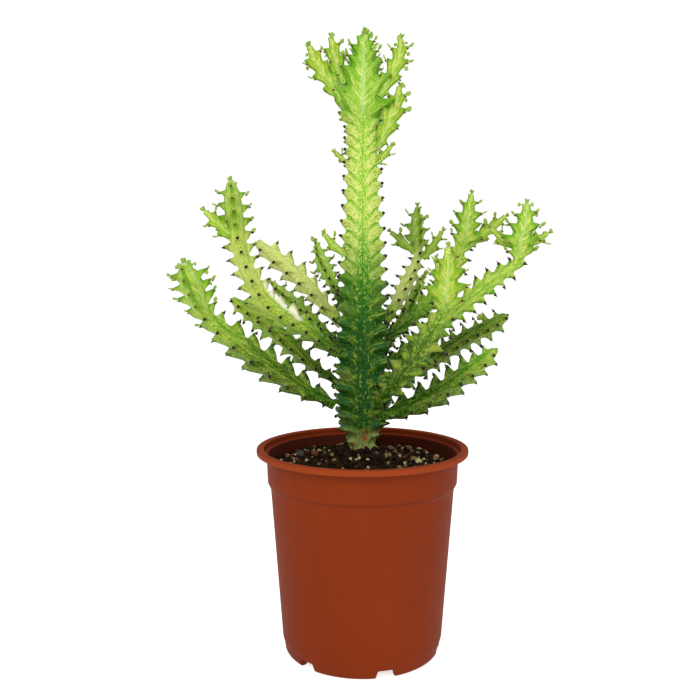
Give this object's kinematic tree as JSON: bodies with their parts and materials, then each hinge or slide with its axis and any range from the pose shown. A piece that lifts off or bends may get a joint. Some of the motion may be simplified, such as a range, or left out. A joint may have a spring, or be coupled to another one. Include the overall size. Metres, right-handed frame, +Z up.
{
  "type": "potted euphorbia",
  "caption": "Candelabra euphorbia with winged, toothed and spined stems and small leaves, growing in soil in a plastic nursery pot.",
  "frame": {"origin": "on the ground, under the middle of the whole plant's box", "axes": "+Z up along the main stem; -Y is the front, where the picture was taken from; +X to the right of the front view"},
  "size_m": [0.2876, 0.1756, 0.4932],
  "materials": {
    "pot": "satin moulded plastic, terracotta brown",
    "soil": "dark crumbly peat with pale grains and small stones",
    "stem": "waxy green skin with cream and yellow marbling, dark brown spines",
    "pale_stem": "waxy yellow-green skin with cream marbling, dark brown spines"
  },
  "bodies": {
    "root": {"pot": "pot", "soil": "soil", "main_stem": "stem", "branch_left_low": "stem", "branch_left_front": "stem", "branch_left_pale": "pale_stem", "branch_left_rear_low": "stem", "branch_left_rear": "stem", "branch_left_rear_high": "pale_stem", "branch_right_rear_high": "stem", "branch_right_rear": "stem", "branch_right_front": "stem", "branch_right_high": "stem", "branch_right_middle": "stem", "branch_right_low": "stem", "branch_rear": "stem"}
  },
  "joints": []
}
